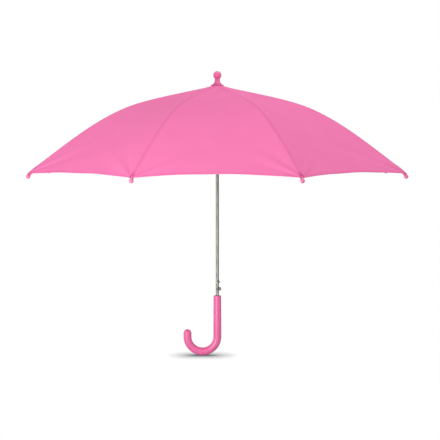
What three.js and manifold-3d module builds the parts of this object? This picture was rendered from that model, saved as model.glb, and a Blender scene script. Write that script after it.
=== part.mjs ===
// A child's stick umbrella, open, with a spring opener and a push-button catch.
// Millimetres. +Z runs up the shaft, and the origin is on the shaft's axis in the middle of
// the handle's straight grip. The handle's hook turns towards -X and the button faces +X.

import * as THREE from "three";
import { mergeVertices } from "three/addons/utils/BufferGeometryUtils.js";
import Module from "manifold-3d";

const wasm = await Module();
wasm.setup();

// ---- Driving dimensions ----

const RIBS = 8;
const SECTOR = (2 * Math.PI) / RIBS;
const DEGREE = Math.PI / 180;

const GAP = 0.3; // between pieces that touch on the real umbrella
const HOLE_GAP = 0.5; // round a wire or a rivet in its hole

const TUBE_RADIUS = 3.5;
const TUBE_WALL = 0.5;
const TUBE_BOTTOM_Z = -11.7;
const TUBE_TOP_Z = 534.2;
const BORE_RADIUS = TUBE_RADIUS + GAP;

const GRIP_RADIUS = 8.9;
const GRIP_TOP_Z = 47.8;
const HOOK_CENTRE_Z = -46.6;
const HOOK_RADIUS = 34.1; // of the centre line
const HOOK_END_Z = -29.6;

const PIVOT_RADIUS = 8; // of the wire rings that the ribs, stretchers and struts hang on
const WIRE_RADIUS = 0.45;
const HUB_RADIUS = 10.4;
const HUB_CORE_RADIUS = 5.3;
const SLOT_WIDTH = 2.2;
const BLADE_THICKNESS = 1.2;

const NOTCH_TOP_Z = 520.6;
const NOTCH_BOTTOM_Z = 509.7;
const NOTCH_PIVOT_Z = 517.6;
const NOTCH_PIN_Z = 512.6;

const RIB_START_Z = 520.6; // of the rib's centre line at the pivot radius
const RIB_RADIUS = 1.1;
const RIB_CURVE_LENGTH = 470; // the rib's curve turns as far as this along it
const RIB_BEND_AT = 452; // the rib's end leaves the curve here and runs straight
const RIB_JOINT_AT = 191.5; // from the start of the rib to the stretcher's joint
const RIB_JOINT_DROP = 3.6; // the joint hangs this far below the rib's centre line
const RIB_CROWN_SLOPE = 11.5 * DEGREE;
const RIB_INNER_TURN = 6 * DEGREE;
const RIB_OUTER_TURN = 19 * DEGREE;
const RIB_OUTER_POWER = 2.7;

const TIP_SLOPE = 45.4 * DEGREE;
const TIP_MOUTH_AT = 10; // beyond the rib's bend
const TIP_BALL_RADIUS = 4.7;
const TIP_BALL_AT = 18; // from the sleeve's mouth to the ball's centre
const TIP_SLEEVE_RADIUS = 2.4;
const TIP_BORE_DEPTH = 10;

const STRUT_JOINT_AT = 70; // from the runner's pivot to the push strut's joint
const STRUT_LENGTH = 110;

const FABRIC_THICKNESS = 0.85; // measured straight down
const FABRIC_LIFT = 2.3; // of the fabric's top above the rib's centre line
const FABRIC_START = -3.6; // along the rib
const FABRIC_END = 478;
const HEM_SCALLOP = 12;
const PANEL_HOLLOW = 4;
const PANEL_ROWS = 14;
const PANEL_COLUMNS = 4;

const PINK = 0xf077ad;
const PINK_SIDE = 0xf180b4;
const PINK_PLASTIC = 0xf06ea8;
const STEEL = 0xa3a39b;
const BLACK_PLASTIC = 0x26262a;
const WHITE_METAL = 0xd8d8d6;

const plasticPink = new THREE.MeshStandardMaterial({ color: PINK_PLASTIC, roughness: 0.3 });
const plasticBlack = new THREE.MeshStandardMaterial({ color: BLACK_PLASTIC, roughness: 0.5 });
const platedSteel = new THREE.MeshStandardMaterial({ color: STEEL, roughness: 0.35, metalness: 1 });
const brightSteel = new THREE.MeshStandardMaterial({ color: WHITE_METAL, roughness: 0.25, metalness: 1 });
const fabric = new THREE.MeshStandardMaterial({ color: PINK, roughness: 0.8 });
const strapFabric = new THREE.MeshStandardMaterial({ color: PINK_SIDE, roughness: 0.8 });

// ---- Geometry helpers ----

const X = new THREE.Vector3(1, 0, 0);
const Y = new THREE.Vector3(0, 1, 0);
const Z = new THREE.Vector3(0, 0, 1);

// A geometry's shared vertices are welded and its collapsed triangles dropped.
function solid(geometry) {
  const bare = geometry.clone();
  bare.deleteAttribute("normal");
  bare.deleteAttribute("uv");
  const welded = mergeVertices(bare);
  const corners = welded.index.array;
  const kept = [];
  for (let i = 0; i < corners.length; i += 3) {
    const [a, b, c] = corners.slice(i, i + 3);
    if (a !== b && b !== c && c !== a) kept.push(a, b, c);
  }
  const vertProperties = welded.attributes.position.array;
  const triVerts = Uint32Array.from(kept);
  return new wasm.Manifold(new wasm.Mesh({ numProp: 3, vertProperties, triVerts }));
}

function geometryOf(made) {
  const mesh = made.getMesh();
  const geometry = new THREE.BufferGeometry();
  geometry.setAttribute("position", new THREE.BufferAttribute(mesh.vertProperties, 3));
  geometry.setIndex(new THREE.BufferAttribute(mesh.triVerts, 1));
  geometry.computeVertexNormals();
  return geometry;
}

function joined(...geometries) {
  return geometries.map(solid).reduce((a, b) => a.add(b));
}

// A profile of [radius, height] points, turned about Z. The outer wall runs upwards.
function turned(profile, sides = 16) {
  const points = profile.map(([r, z]) => new THREE.Vector2(r, z));
  return new THREE.LatheGeometry(points, sides).rotateX(Math.PI / 2);
}

function ring(radius, thickness, z, sides = 4) {
  return new THREE.TorusGeometry(radius, thickness, sides, 16).translate(0, 0, z);
}

// A round pin along Y, through the point (x, z).
function crossPin(radius, length, x, z, sides = 8) {
  return new THREE.CylinderGeometry(radius, radius, length, sides).translate(x, 0, z);
}

// An outline drawn in X and Z becomes a plate centred on y = 0.
function plate(outline, thickness, curveSegments = 4) {
  const options = { depth: thickness, bevelEnabled: false, curveSegments };
  const geometry = new THREE.ExtrudeGeometry(outline, options);
  geometry.applyMatrix4(new THREE.Matrix4().makeBasis(X, Z, Y.clone().negate()));
  return geometry.translate(0, thickness / 2, 0);
}

function polygon(points) {
  return new THREE.Shape(points.map(([x, y]) => new THREE.Vector2(x, y)));
}

function hole(x, z, radius) {
  const path = new THREE.Path();
  path.absarc(x, z, radius, 0, 2 * Math.PI, true);
  return path;
}

function regularPolygon(radius, sides) {
  const points = [];
  for (let i = 0; i < sides; i += 1) {
    const angle = (2 * Math.PI * i) / sides;
    points.push([radius * Math.cos(angle), radius * Math.sin(angle)]);
  }
  return polygon(points);
}

// A round wire through points of the plane y = 0, with a ring of corners at each point.
function wireThrough(points, radius, sides) {
  const positions = [];
  const index = [];
  points.forEach((point, i) => {
    const before = points[Math.max(i - 1, 0)];
    const after = points[Math.min(i + 1, points.length - 1)];
    const angle = Math.atan2(after[1] - before[1], after[0] - before[0]);
    for (let j = 0; j < sides; j += 1) {
      const turn = (2 * Math.PI * (j + 0.5)) / sides;
      const side = radius * Math.cos(turn);
      const x = point[0] - side * Math.sin(angle);
      positions.push(x, radius * Math.sin(turn), point[1] + side * Math.cos(angle));
    }
  });
  for (let i = 0; i < points.length - 1; i += 1) {
    for (let j = 0; j < sides; j += 1) {
      const a = i * sides + j;
      const b = i * sides + ((j + 1) % sides);
      index.push(a, b + sides, b, a, a + sides, b + sides);
    }
  }
  const last = (points.length - 1) * sides;
  for (let j = 1; j < sides - 1; j += 1) {
    index.push(0, j, j + 1, last, last + j + 1, last + j);
  }
  const geometry = new THREE.BufferGeometry();
  geometry.setAttribute("position", new THREE.Float32BufferAttribute(positions, 3));
  geometry.setIndex(index);
  geometry.computeVertexNormals();
  return geometry;
}

function swept(radius, sides, path, steps) {
  return new THREE.ExtrudeGeometry(regularPolygon(radius, sides), { steps, extrudePath: path });
}

// Two grids of points, over and under, become one closed slab.
function slab(over, under, rows, columns) {
  const positions = [];
  const index = [];
  const at = (layer, i, j) => layer * (rows + 1) * (columns + 1) + i * (columns + 1) + j;
  for (const layer of [over, under]) {
    for (let i = 0; i <= rows; i += 1) {
      for (let j = 0; j <= columns; j += 1) positions.push(...layer(i / rows, j / columns));
    }
  }
  const quad = (a, b, c, d) => index.push(a, b, c, a, c, d);
  for (let i = 0; i < rows; i += 1) {
    for (let j = 0; j < columns; j += 1) {
      quad(at(0, i, j), at(0, i + 1, j), at(0, i + 1, j + 1), at(0, i, j + 1));
      quad(at(1, i, j), at(1, i, j + 1), at(1, i + 1, j + 1), at(1, i + 1, j));
    }
    quad(at(0, i, 0), at(1, i, 0), at(1, i + 1, 0), at(0, i + 1, 0));
    quad(at(0, i, columns), at(0, i + 1, columns), at(1, i + 1, columns), at(1, i, columns));
  }
  for (let j = 0; j < columns; j += 1) {
    quad(at(0, 0, j), at(0, 0, j + 1), at(1, 0, j + 1), at(1, 0, j));
    quad(at(0, rows, j), at(1, rows, j), at(1, rows, j + 1), at(0, rows, j + 1));
  }
  const geometry = new THREE.BufferGeometry();
  geometry.setAttribute("position", new THREE.Float32BufferAttribute(positions, 3));
  geometry.setIndex(index);
  geometry.computeVertexNormals();
  return geometry;
}

// ---- The rib's curve and the linkage that follows from it ----

function ribSlope(s) {
  if (s < 0) return RIB_CROWN_SLOPE;
  if (s < RIB_JOINT_AT) return RIB_CROWN_SLOPE + RIB_INNER_TURN * (s / RIB_JOINT_AT) ** 4;
  const left = Math.max(1 - (s - RIB_JOINT_AT) / (RIB_CURVE_LENGTH - RIB_JOINT_AT), 0);
  return RIB_CROWN_SLOPE + RIB_INNER_TURN + RIB_OUTER_TURN * (1 - left ** RIB_OUTER_POWER);
}

// The point on the rib's centre line at a distance s from its start, raised by lift.
function ribPoint(s, lift = 0) {
  const step = s < 0 ? -0.5 : 0.5;
  const count = Math.round(s / step);
  let x = PIVOT_RADIUS;
  let z = RIB_START_Z;
  for (let i = 0; i < count; i += 1) {
    const slope = ribSlope((i + 0.5) * step);
    x += step * Math.cos(slope);
    z -= step * Math.sin(slope);
  }
  const slope = ribSlope(s);
  return [x + lift * Math.sin(slope), z + lift * Math.cos(slope)];
}

const [jointX, jointZ] = ribPoint(RIB_JOINT_AT, -RIB_JOINT_DROP);
const LINK = Math.hypot(jointX - PIVOT_RADIUS, jointZ - NOTCH_PIVOT_Z);
const OPEN_ANGLE = Math.atan2(jointX - PIVOT_RADIUS, NOTCH_PIVOT_Z - jointZ); // from straight down
const UPPER_PIVOT_Z = NOTCH_PIVOT_Z - 2 * LINK * Math.cos(OPEN_ANGLE);
const STRUT_ANGLE = Math.asin((STRUT_JOINT_AT / STRUT_LENGTH) * Math.sin(OPEN_ANGLE));
const strutJointX = PIVOT_RADIUS + STRUT_JOINT_AT * Math.sin(OPEN_ANGLE);
const strutJointZ = UPPER_PIVOT_Z + STRUT_JOINT_AT * Math.cos(OPEN_ANGLE);
const LOWER_PIVOT_Z = strutJointZ - STRUT_LENGTH * Math.cos(STRUT_ANGLE);

// ---- Shaft, handle and crown ----

const CATCH_WEDGE_TOP_Z = 86.7;
const CATCH_WEDGE_BOTTOM_Z = 76.8;
const BUTTON_TOP_Z = 67.4;
const BUTTON_BOTTOM_Z = 59.4;
const CATCH_WIDTH = 1.8;
const CATCH_FOOT_X = 1.1;
const CATCH_FOOT_Z = 10;
const CATCH_PIN_RADIUS = 0.5;
const NOTCH_PIN_RADIUS = 0.6;
const STOP_PIN_RADIUS = 0.6;
const UPPER_SLEEVE_TOP = 9; // above the upper runner's pivot
const STOP_PIN_Z = UPPER_PIVOT_Z + UPPER_SLEEVE_TOP + GAP + STOP_PIN_RADIUS;

function shaftTube() {
  const inner = TUBE_RADIUS - TUBE_WALL;
  const tube = turned([
    [inner, TUBE_BOTTOM_Z],
    [TUBE_RADIUS, TUBE_BOTTOM_Z],
    [TUBE_RADIUS, TUBE_TOP_Z],
    [inner, TUBE_TOP_Z],
    [inner, TUBE_BOTTOM_Z],
  ]);
  const slotWidth = CATCH_WIDTH + 2 * GAP;
  const windows = [
    [CATCH_WEDGE_BOTTOM_Z, CATCH_WEDGE_TOP_Z],
    [BUTTON_BOTTOM_Z, BUTTON_TOP_Z],
  ];
  let made = solid(tube);
  for (const [low, high] of windows) {
    const height = high - low + 4 * GAP;
    const box = new THREE.BoxGeometry(TUBE_RADIUS, slotWidth, height);
    made = made.subtract(solid(box.translate(TUBE_RADIUS, 0, (low + high) / 2)));
  }
  const across = 4 * TUBE_RADIUS;
  made = made.subtract(solid(crossPin(NOTCH_PIN_RADIUS + GAP, across, 0, NOTCH_PIN_Z)));
  made = made.subtract(solid(crossPin(STOP_PIN_RADIUS + GAP, across, 0, STOP_PIN_Z)));
  made = made.subtract(solid(crossPin(CATCH_PIN_RADIUS + GAP, across, CATCH_FOOT_X, CATCH_FOOT_Z)));
  return geometryOf(made);
}

function handle() {
  const path = new THREE.CurvePath();
  const hookX = -2 * HOOK_RADIUS;
  const endZ = HOOK_END_Z - GRIP_RADIUS;
  path.add(new THREE.LineCurve3(
    new THREE.Vector3(0, 0, GRIP_TOP_Z),
    new THREE.Vector3(0, 0, HOOK_CENTRE_Z),
  ));
  path.add(new HookArc());
  path.add(new THREE.LineCurve3(
    new THREE.Vector3(hookX, 0, HOOK_CENTRE_Z),
    new THREE.Vector3(hookX, 0, endZ),
  ));
  const bar = solid(swept(GRIP_RADIUS, 12, path, 26));
  const round = new THREE.SphereGeometry(GRIP_RADIUS, 12, 8).rotateX(Math.PI / 2);
  const depth = GRIP_TOP_Z - TUBE_BOTTOM_Z + GAP;
  const socket = turned([
    [0, 0],
    [BORE_RADIUS, 0],
    [BORE_RADIUS, depth + 1],
    [0, depth + 1],
  ]);
  socket.translate(0, 0, GRIP_TOP_Z - depth);
  return geometryOf(bar.add(solid(round.translate(hookX, 0, endZ))).subtract(solid(socket)));
}

class HookArc extends THREE.Curve {
  getPoint(t) {
    const angle = -Math.PI * t;
    const x = HOOK_RADIUS * (Math.cos(angle) - 1);
    return new THREE.Vector3(x, 0, HOOK_CENTRE_Z + HOOK_RADIUS * Math.sin(angle));
  }
}

const WASHER_RADIUS = 14.3;
const WASHER_TOP_Z = 526.5;
const FINIAL_BASE_Z = WASHER_TOP_Z + GAP;
const FINIAL_BASE_RADIUS = 9.8;
const FINIAL_NECK_RADIUS = 5.9;
const FINIAL_NECK_Z = 537.8;
const FINIAL_BALL_RADIUS = 9.3;
const FINIAL_BALL_Z = 546.9;

function finial() {
  const roof = TUBE_TOP_Z + GAP;
  const profile = [[0, roof], [BORE_RADIUS, roof], [BORE_RADIUS, FINIAL_BASE_Z]];
  profile.push([FINIAL_BASE_RADIUS, FINIAL_BASE_Z], [FINIAL_BASE_RADIUS, FINIAL_BASE_Z + 1.6]);
  profile.push([7.6, FINIAL_BASE_Z + 3.6], [6.3, FINIAL_BASE_Z + 6.6]);
  const neckAngle = Math.asin((FINIAL_NECK_Z - FINIAL_BALL_Z) / FINIAL_BALL_RADIUS / 1.25);
  profile.push([FINIAL_NECK_RADIUS, FINIAL_NECK_Z]);
  for (let i = 0; i < 8; i += 1) {
    const angle = neckAngle + ((Math.PI / 2 - neckAngle) * i) / 8;
    const reach = FINIAL_BALL_RADIUS * Math.cos(angle);
    profile.push([reach, FINIAL_BALL_Z + FINIAL_BALL_RADIUS * Math.sin(angle)]);
  }
  profile.push([0, FINIAL_BALL_Z + FINIAL_BALL_RADIUS]);
  return turned(profile);
}

// The washer's underside is a cone that lies on the fabric.
function topWasher() {
  const rim = WASHER_TOP_Z - 4.4;
  const rise = (WASHER_RADIUS - BORE_RADIUS) * Math.tan(RIB_CROWN_SLOPE);
  return turned([
    [BORE_RADIUS, rim + rise],
    [WASHER_RADIUS, rim],
    [WASHER_RADIUS, rim + 2.7],
    [WASHER_RADIUS - 1.4, WASHER_TOP_Z],
    [BORE_RADIUS, WASHER_TOP_Z],
    [BORE_RADIUS, rim + rise],
  ]);
}

// A slot for each rib, stretcher or strut is cut from a hub, with a groove for the wire ring.
function slottedHub(profile, pivotZ, slotBottomZ, slotTopZ) {
  let made = solid(turned(profile));
  const length = HUB_RADIUS - HUB_CORE_RADIUS + 1;
  const height = slotTopZ - slotBottomZ;
  const middle = (slotTopZ + slotBottomZ) / 2;
  for (let k = 0; k < RIBS; k += 1) {
    const slot = new THREE.BoxGeometry(length, SLOT_WIDTH, height);
    slot.translate(HUB_CORE_RADIUS + length / 2, 0, middle).rotateZ(SECTOR * (k + 0.5));
    made = made.subtract(solid(slot));
  }
  return made.subtract(solid(ring(PIVOT_RADIUS, WIRE_RADIUS + GAP, pivotZ)));
}

function topNotch() {
  const profile = [
    [BORE_RADIUS, NOTCH_BOTTOM_Z],
    [HUB_RADIUS, NOTCH_BOTTOM_Z],
    [HUB_RADIUS, NOTCH_TOP_Z],
    [BORE_RADIUS, NOTCH_TOP_Z],
    [BORE_RADIUS, NOTCH_BOTTOM_Z],
  ];
  const hub = slottedHub(profile, NOTCH_PIVOT_Z, NOTCH_BOTTOM_Z - 1, NOTCH_TOP_Z + 1);
  const pinHole = crossPin(NOTCH_PIN_RADIUS + GAP, 4 * HUB_RADIUS, 0, NOTCH_PIN_Z);
  return geometryOf(hub.subtract(solid(pinHole)));
}

// ---- Runners, spring and catch ----

const HUB_HALF_HEIGHT = 4;
const UPPER_SLEEVE_RADIUS = 5.3;
const SPRING_SEAT = 5; // from a runner's pivot to the spring
const LOWER_SLEEVE_RADIUS = 6.2;
const LOWER_SLEEVE_BOTTOM = 32; // below the lower runner's pivot
const THUMB_RING_RADIUS = 8.2;
const THUMB_RING_HEIGHT = 3.4;
const KEYWAY_WIDTH = 3;

function upperRunner() {
  const top = UPPER_PIVOT_Z + UPPER_SLEEVE_TOP;
  const hubTop = UPPER_PIVOT_Z + HUB_HALF_HEIGHT;
  const hubBottom = UPPER_PIVOT_Z - HUB_HALF_HEIGHT;
  const seat = UPPER_PIVOT_Z - SPRING_SEAT;
  const profile = [
    [BORE_RADIUS, seat],
    [UPPER_SLEEVE_RADIUS, seat],
    [UPPER_SLEEVE_RADIUS, hubBottom],
    [HUB_RADIUS, hubBottom],
    [HUB_RADIUS, hubTop],
    [UPPER_SLEEVE_RADIUS, hubTop],
    [UPPER_SLEEVE_RADIUS, top],
    [BORE_RADIUS, top],
    [BORE_RADIUS, seat],
  ];
  return geometryOf(slottedHub(profile, UPPER_PIVOT_Z, hubBottom - 1, hubTop + 1));
}

// The keyway lets the runner pass the catch's wedge.
function lowerRunner() {
  const seat = LOWER_PIVOT_Z + SPRING_SEAT;
  const hubTop = LOWER_PIVOT_Z + HUB_HALF_HEIGHT;
  const hubBottom = LOWER_PIVOT_Z - HUB_HALF_HEIGHT;
  const bottom = LOWER_PIVOT_Z - LOWER_SLEEVE_BOTTOM;
  const profile = [
    [BORE_RADIUS, bottom],
    [THUMB_RING_RADIUS, bottom],
    [THUMB_RING_RADIUS, bottom + THUMB_RING_HEIGHT],
    [LOWER_SLEEVE_RADIUS, bottom + THUMB_RING_HEIGHT + 1.5],
    [LOWER_SLEEVE_RADIUS, hubBottom],
    [HUB_RADIUS, hubBottom],
    [HUB_RADIUS, hubTop],
    [UPPER_SLEEVE_RADIUS, hubTop],
    [UPPER_SLEEVE_RADIUS, seat],
    [BORE_RADIUS, seat],
    [BORE_RADIUS, bottom],
  ];
  const hub = slottedHub(profile, LOWER_PIVOT_Z, hubBottom - 1, hubTop + 1);
  const height = LOWER_SLEEVE_BOTTOM - 2 * HUB_HALF_HEIGHT;
  const keyway = new THREE.BoxGeometry(2 * HUB_RADIUS, KEYWAY_WIDTH, height + 1);
  keyway.translate(HUB_RADIUS, 0, bottom - 1 + (height + 1) / 2);
  return geometryOf(hub.subtract(solid(keyway)));
}

const SPRING_RADIUS = 4.7;
const SPRING_WIRE_RADIUS = 0.5;
const SPRING_TURNS = 10;
const SPRING_STEPS = 80;

class SpringHelix extends THREE.Curve {
  getPoint(t) {
    const angle = 2 * Math.PI * SPRING_TURNS * t;
    const inset = SPRING_WIRE_RADIUS + GAP;
    const low = LOWER_PIVOT_Z + SPRING_SEAT + inset;
    const high = UPPER_PIVOT_Z - SPRING_SEAT - inset;
    const x = SPRING_RADIUS * Math.cos(angle);
    return new THREE.Vector3(x, SPRING_RADIUS * Math.sin(angle), low + (high - low) * t);
  }
}

// A sprung steel leaf in the tube, with a wedge that holds the closed runner.
const LEAF_INNER_X = 0.9;
const LEAF_OUTER_X = 1.9;
const WEDGE_REACH_X = 6.4;
const BUTTON_REACH_X = 8.9;

function catchLeaf() {
  const outline = polygon([
    [CATCH_FOOT_X, CATCH_FOOT_Z - 1.8],
    [CATCH_FOOT_X + 1.4, CATCH_FOOT_Z - 1],
    [CATCH_FOOT_X + 1.4, CATCH_FOOT_Z + 1],
    [LEAF_OUTER_X, CATCH_FOOT_Z + 4],
    [LEAF_OUTER_X, CATCH_WEDGE_BOTTOM_Z],
    [WEDGE_REACH_X, CATCH_WEDGE_BOTTOM_Z],
    [TUBE_RADIUS, CATCH_WEDGE_TOP_Z - 2],
    [LEAF_OUTER_X, CATCH_WEDGE_TOP_Z],
    [LEAF_INNER_X, CATCH_WEDGE_TOP_Z],
    [LEAF_INNER_X, CATCH_FOOT_Z + 4],
    [CATCH_FOOT_X - 1.4, CATCH_FOOT_Z + 1],
    [CATCH_FOOT_X - 1.4, CATCH_FOOT_Z - 1],
  ]);
  outline.holes.push(hole(CATCH_FOOT_X, CATCH_FOOT_Z, CATCH_PIN_RADIUS + GAP));
  return plate(outline, CATCH_WIDTH);
}

function releaseButton() {
  const back = LEAF_OUTER_X + GAP;
  const outline = polygon([
    [back, BUTTON_BOTTOM_Z],
    [BUTTON_REACH_X - 0.8, BUTTON_BOTTOM_Z],
    [BUTTON_REACH_X, BUTTON_BOTTOM_Z + 0.8],
    [BUTTON_REACH_X - 0.4, BUTTON_BOTTOM_Z + 4.6],
    [BUTTON_REACH_X - 1.2, BUTTON_TOP_Z - 1],
    [BUTTON_REACH_X - 2.4, BUTTON_TOP_Z],
    [back, BUTTON_TOP_Z],
  ]);
  return plate(outline, CATCH_WIDTH);
}

// ---- Ribs, stretchers and struts, each drawn in the plane y = 0 ----

const RIB_LUG_RADIUS = 1.9;
const RIVET_RADIUS = 0.55;
const EYE_RADIUS = 2.2;
const RIB_BLADE_END = 17;

function ribBlade() {
  const outline = new THREE.Shape();
  outline.moveTo(...ribPoint(RIB_BLADE_END - PIVOT_RADIUS, -0.8));
  outline.lineTo(...ribPoint(RIB_BLADE_END - PIVOT_RADIUS, 0.8));
  outline.lineTo(...ribPoint(0, 0.8));
  outline.absarc(PIVOT_RADIUS, NOTCH_PIVOT_Z, EYE_RADIUS, Math.PI * 0.9, Math.PI * 1.9, false);
  outline.lineTo(...ribPoint(4, -0.9));
  outline.holes.push(hole(PIVOT_RADIUS, NOTCH_PIVOT_Z, WIRE_RADIUS + HOLE_GAP));
  return plate(outline, BLADE_THICKNESS);
}

function ribLug() {
  const outline = new THREE.Shape();
  outline.moveTo(...ribPoint(RIB_JOINT_AT + 2.4, -0.3));
  outline.lineTo(...ribPoint(RIB_JOINT_AT - 2.4, -0.3));
  const start = Math.PI - RIB_CROWN_SLOPE - RIB_INNER_TURN;
  outline.absarc(jointX, jointZ, RIB_LUG_RADIUS, start, start + Math.PI, false);
  outline.holes.push(hole(jointX, jointZ, RIVET_RADIUS + GAP));
  return plate(outline, BLADE_THICKNESS);
}

// A point of the rib's straight end, at a distance from the bend.
function tipAxisPoint(distance) {
  const [x, z] = ribPoint(RIB_BEND_AT);
  return [x + distance * Math.cos(TIP_SLOPE), z - distance * Math.sin(TIP_SLOPE)];
}

// The wire bends where the fabric's facets do, and its end turns down into the ball tip.
function ribGeometry() {
  const points = [ribPoint(RIB_BLADE_END - PIVOT_RADIUS - 4)];
  for (let i = 1; i < PANEL_ROWS; i += 1) points.push(ribPoint(panelStation(i / PANEL_ROWS)));
  points.push(ribPoint(RIB_BEND_AT), tipAxisPoint(TIP_MOUTH_AT + TIP_BORE_DEPTH - GAP));
  return geometryOf(joined(wireThrough(points, RIB_RADIUS, 6), ribBlade(), ribLug()));
}

// Turned about its own axis, with the sleeve's mouth at the origin and the ball up Z.
function tipGeometry() {
  const bore = RIB_RADIUS + GAP;
  const profile = [[0, TIP_BORE_DEPTH], [bore, TIP_BORE_DEPTH], [bore, 0.5]];
  profile.push([TIP_SLEEVE_RADIUS, 0.5], [TIP_SLEEVE_RADIUS, TIP_BALL_AT - 6]);
  profile.push([TIP_SLEEVE_RADIUS - 0.3, TIP_BALL_AT - 4.2]);
  const first = -0.3 * Math.PI;
  for (let i = 0; i < 4; i += 1) {
    const angle = first + ((Math.PI / 2 - first) * i) / 4;
    const reach = TIP_BALL_RADIUS * Math.cos(angle);
    profile.push([reach, TIP_BALL_AT + TIP_BALL_RADIUS * Math.sin(angle)]);
  }
  profile.push([0, TIP_BALL_AT + TIP_BALL_RADIUS]);
  return turned(profile, 8);
}

const CHANNEL_HALF_WIDTH = 1.9;
const CHANNEL_WALL = 0.6;
const CHANNEL_TOP = 2.6;
const CHANNEL_BOTTOM = -1.5;
const CHANNEL_START = 7;
const EAR_LENGTH = 8;

// Drawn along X from the runner's pivot to the rib's joint. The channel is open below.
function stretcherGeometry() {
  const inside = CHANNEL_HALF_WIDTH - CHANNEL_WALL;
  const roof = CHANNEL_TOP - CHANNEL_WALL;
  const section = polygon([
    [-CHANNEL_HALF_WIDTH, CHANNEL_BOTTOM],
    [-inside, CHANNEL_BOTTOM],
    [-inside, roof],
    [inside, roof],
    [inside, CHANNEL_BOTTOM],
    [CHANNEL_HALF_WIDTH, CHANNEL_BOTTOM],
    [CHANNEL_HALF_WIDTH, CHANNEL_TOP],
    [-CHANNEL_HALF_WIDTH, CHANNEL_TOP],
  ]);
  const depth = LINK - CHANNEL_START - EAR_LENGTH;
  const channel = new THREE.ExtrudeGeometry(section, { depth, bevelEnabled: false });
  channel.applyMatrix4(new THREE.Matrix4().makeBasis(Y, Z, X)).translate(CHANNEL_START, 0, 0);
  const eye = new THREE.Shape();
  eye.moveTo(CHANNEL_START + 6, roof + 0.3);
  eye.lineTo(CHANNEL_START - 3, roof + 0.3);
  eye.absarc(0, 0, EYE_RADIUS, Math.PI * 0.4, Math.PI * 1.6, false);
  eye.lineTo(CHANNEL_START + 6, CHANNEL_BOTTOM + 0.4);
  eye.holes.push(hole(0, 0, WIRE_RADIUS + HOLE_GAP));
  const pieces = [channel, plate(eye, BLADE_THICKNESS)];
  for (const side of [-1, 1]) {
    const ear = new THREE.Shape();
    ear.moveTo(LINK - EAR_LENGTH - 1, CHANNEL_TOP - 0.1);
    ear.lineTo(LINK - EAR_LENGTH - 1, CHANNEL_BOTTOM + 0.1);
    ear.absarc(LINK, 0, RIB_LUG_RADIUS, -Math.PI / 2, Math.PI / 2, false);
    const middle = side * (CHANNEL_HALF_WIDTH - CHANNEL_WALL / 2);
    pieces.push(plate(ear, CHANNEL_WALL).translate(0, middle, 0));
  }
  pieces.push(crossPin(RIVET_RADIUS, 2 * CHANNEL_HALF_WIDTH, LINK, 0));
  pieces.push(crossPin(RIVET_RADIUS, 2 * CHANNEL_HALF_WIDTH, STRUT_JOINT_AT, 0));
  return geometryOf(joined(...pieces));
}

const STRUT_THICKNESS = 1;
const STRUT_HALF_WIDTH = 1.1;
const STRUT_EYE_RADIUS = 1.6;
const HOOK_MOUTH_SLOPE = -33 * DEGREE;

// Drawn along X from the stretcher's joint to the lower runner's wire. The far eye is an open
// hook, because its wire leaves it a little while the frame is half folded.
function strutGeometry() {
  const outline = new THREE.Shape();
  outline.moveTo(0, STRUT_EYE_RADIUS);
  outline.absarc(0, 0, STRUT_EYE_RADIUS, Math.PI / 2, 1.5 * Math.PI, false);
  outline.lineTo(6, -STRUT_HALF_WIDTH);
  outline.lineTo(STRUT_LENGTH - 4, -STRUT_HALF_WIDTH);
  outline.absarc(STRUT_LENGTH, 0, EYE_RADIUS, -0.6 * Math.PI, 0.6 * Math.PI, false);
  outline.lineTo(STRUT_LENGTH - 4, STRUT_HALF_WIDTH);
  outline.lineTo(6, STRUT_HALF_WIDTH);
  outline.holes.push(hole(0, 0, RIVET_RADIUS + GAP));
  const opening = 2 * (WIRE_RADIUS + HOLE_GAP);
  const mouth = new THREE.BoxGeometry(3 * EYE_RADIUS, 2 * STRUT_THICKNESS, opening);
  mouth.translate(1.5 * EYE_RADIUS, 0, 0).rotateY(-HOOK_MOUTH_SLOPE).translate(STRUT_LENGTH, 0, 0);
  const eye = crossPin(opening / 2, 2 * STRUT_THICKNESS, STRUT_LENGTH, 0);
  return geometryOf(solid(plate(outline, STRUT_THICKNESS)).subtract(joined(mouth, eye)));
}

// ---- Canopy ----

function panelStation(along, cutBack = 0) {
  return FABRIC_START + (FABRIC_END - cutBack - FABRIC_START) * along;
}

// A point of one panel, drawn with its middle over +X. along runs from the crown (0) to the
// hem (1), and across from one rib (-1) to the next (1).
function panelPoint(along, across, lift) {
  const s = panelStation(along, HEM_SCALLOP * (1 - across * across));
  const [reach, z] = ribPoint(s, FABRIC_LIFT);
  const halfWidth = reach * Math.sin(SECTOR / 2) - GAP / 2 / Math.cos(SECTOR / 2);
  const hollow = PANEL_HOLLOW * Math.sin(Math.PI * along) * (1 - across * across);
  const slope = Math.atan(Math.tan(ribSlope(s)) / Math.cos(SECTOR / 2));
  const x = reach * Math.cos(SECTOR / 2) - hollow * Math.sin(slope);
  return [x, halfWidth * across, z - hollow * Math.cos(slope) + lift];
}

function panelGeometry() {
  const over = (u, v) => panelPoint(u, 2 * v - 1, 0);
  const under = (u, v) => panelPoint(u, 2 * v - 1, -FABRIC_THICKNESS);
  return slab(over, under, PANEL_ROWS, PANEL_COLUMNS);
}

const STRAP_HALF_WIDTH = 8;
const STRAP_START = 0.62;
const STRAP_END = 0.95;
const STRAP_THICKNESS = 0.8;
const STRAP_LIFT = 0.6;
const SNAP_RADIUS = 5;
const SNAP_HEIGHT = 2.2;

// The strap lies down the outside of one panel, sewn on at its upper end.
function strapPoint(along, side, lift) {
  const share = STRAP_START + (STRAP_END - STRAP_START) * along;
  const width = panelPoint(share, 1, 0)[1];
  const [x, , z] = panelPoint(share, (STRAP_HALF_WIDTH * side) / width, lift);
  return [x, STRAP_HALF_WIDTH * side, z];
}

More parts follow.
